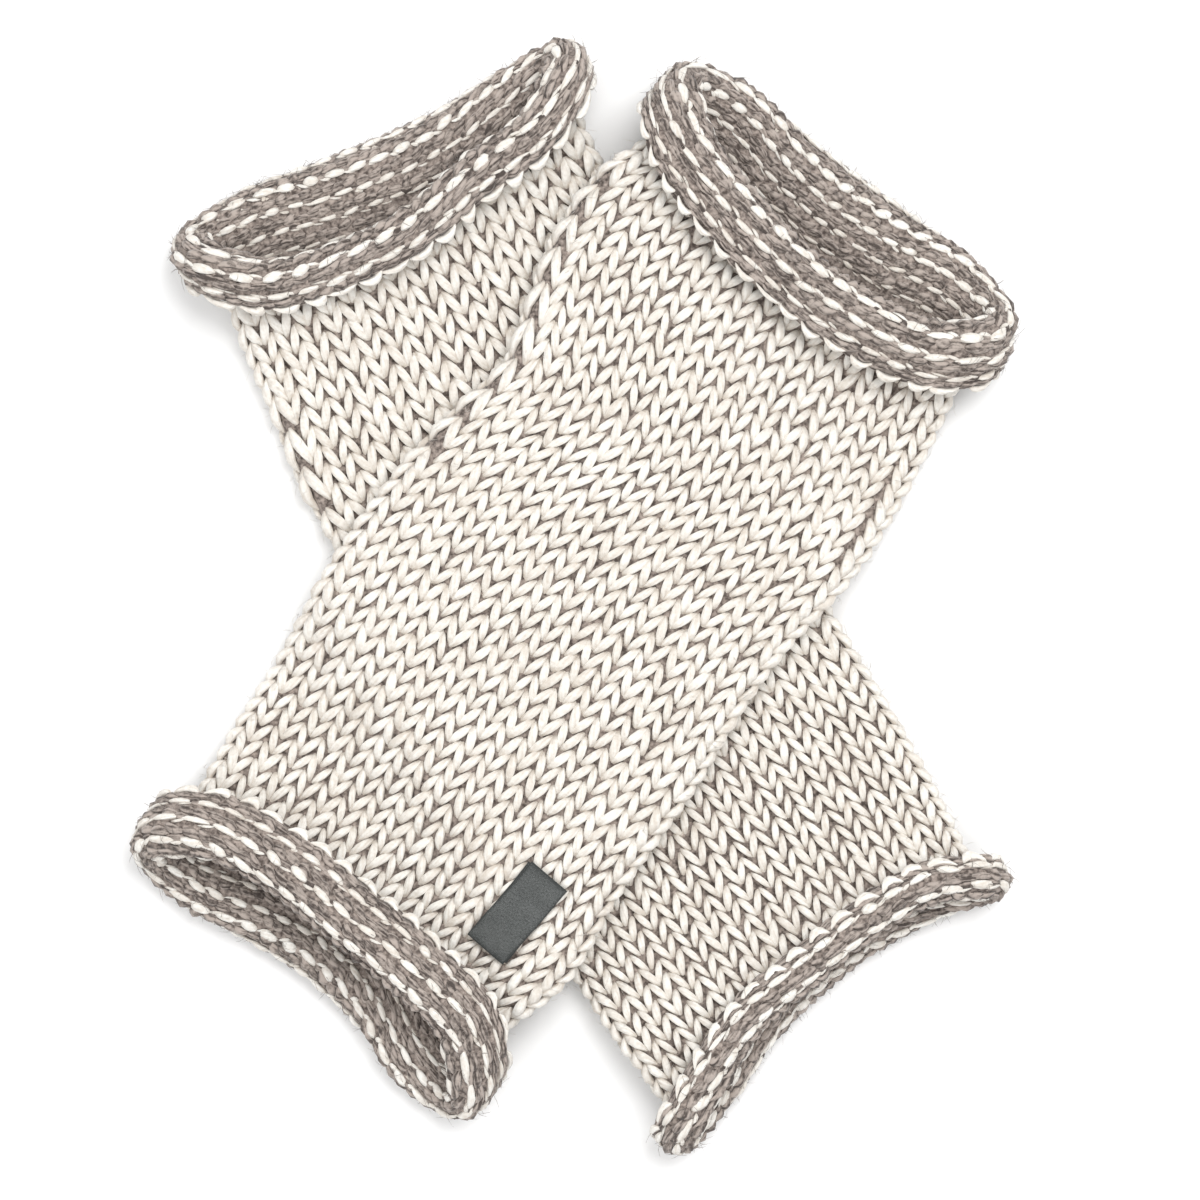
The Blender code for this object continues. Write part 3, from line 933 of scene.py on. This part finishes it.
def make_label():
    """A plain dark tape folded in two, its lower layer a little turned, so it shows past two edges."""
    lower = label_layer("label_back", 2.02, LABEL_WIDTH, LABEL_LENGTH - 0.6, (-0.1, 0.1), 2.4, -0.12)
    upper = label_layer("label_front", 2.5, LABEL_WIDTH, LABEL_LENGTH, (0.0, 0.0), 0.0, -0.1)
    label = join([lower, upper], "folded_label")
    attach(label, "root")
    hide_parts("woven_label")
    return label


# ---------------------------------------------------------------- build it
for number, glove in enumerate((LOWER, UPPER)):       # each maker of strands ends with its seed
    front = math.ceil(glove.wales / 2)
    shell = make_ground(glove)
    pieces = [
        knit_face(glove, "front", 0, front, 11 + number),
        knit_face(glove, "back", front, glove.wales - front, 21 + number),
        knit_reverse(glove, glove.bottom, -1, "bottom", 31 + number),
        knit_reverse(glove, glove.top, 1, "top", 41 + number),
        make_fuzz(glove, 51 + number),
    ]
    width = (table_value(glove.sections, "left", 0.0) + table_value(glove.sections, "right", 0.0)) * 2
make_label()
for unit in (FACE_STITCH, REVERSE_STITCH, EDGE_STITCH):
    bpy.data.objects.remove(unit)

# ---------------------------------------------------------------- studio
FRAME_WIDTH = 266.7       # millimetres of ground that the photograph's width covers
LOOK_AT = (5.76, -0.64)   # the middle of the photograph, on the ground
CAMERA_HEIGHT = 1400.0
SENSOR_WIDTH = 36.0


def make_floor():
    bpy.ops.mesh.primitive_plane_add(size=6.0, location=(0, 0, 0))
    floor = bpy.context.object
    floor.name = "floor"
    paint = Paint("white_floor", 0.9, Specular_IOR_Level=0.1)
    paint.shader.inputs["Base Color"].default_value = (0.93, 0.93, 0.93, 1)
    floor.data.materials.append(paint.material)


def make_light(name, where, size, power):
    """A square soft light that faces the middle of the pair."""
    bpy.ops.object.light_add(type="AREA", location=where)
    light = bpy.context.object
    light.name = name
    light.data.size = size
    light.data.energy = power
    light.rotation_euler = (-Vector(where)).to_track_quat("-Z", "Y").to_euler()


def make_camera():
    """Straight above the pair, as the photograph was taken."""
    bpy.ops.object.camera_add(location=(LOOK_AT[0] * MM, LOOK_AT[1] * MM, CAMERA_HEIGHT * MM),
                              rotation=(0, 0, 0))
    camera = bpy.context.object
    camera.name = "camera"
    camera.data.sensor_width = SENSOR_WIDTH
    camera.data.lens = SENSOR_WIDTH * CAMERA_HEIGHT / FRAME_WIDTH
    camera.data.clip_start = 0.01
    bpy.context.scene.camera = camera


make_floor()
make_light("key", (0.40, 0.55, 1.5), 0.9, 17.5)
make_light("fill", (-0.7, -0.5, 1.5), 1.4, 8.5)
world = bpy.data.worlds.new("studio")
bpy.context.scene.world = world
world.use_nodes = True
background = world.node_tree.nodes["Background"]
background.inputs["Color"].default_value = (1, 1, 1, 1)
background.inputs["Strength"].default_value = 0.72
bpy.context.scene.view_settings.view_transform = "Standard"
make_camera()
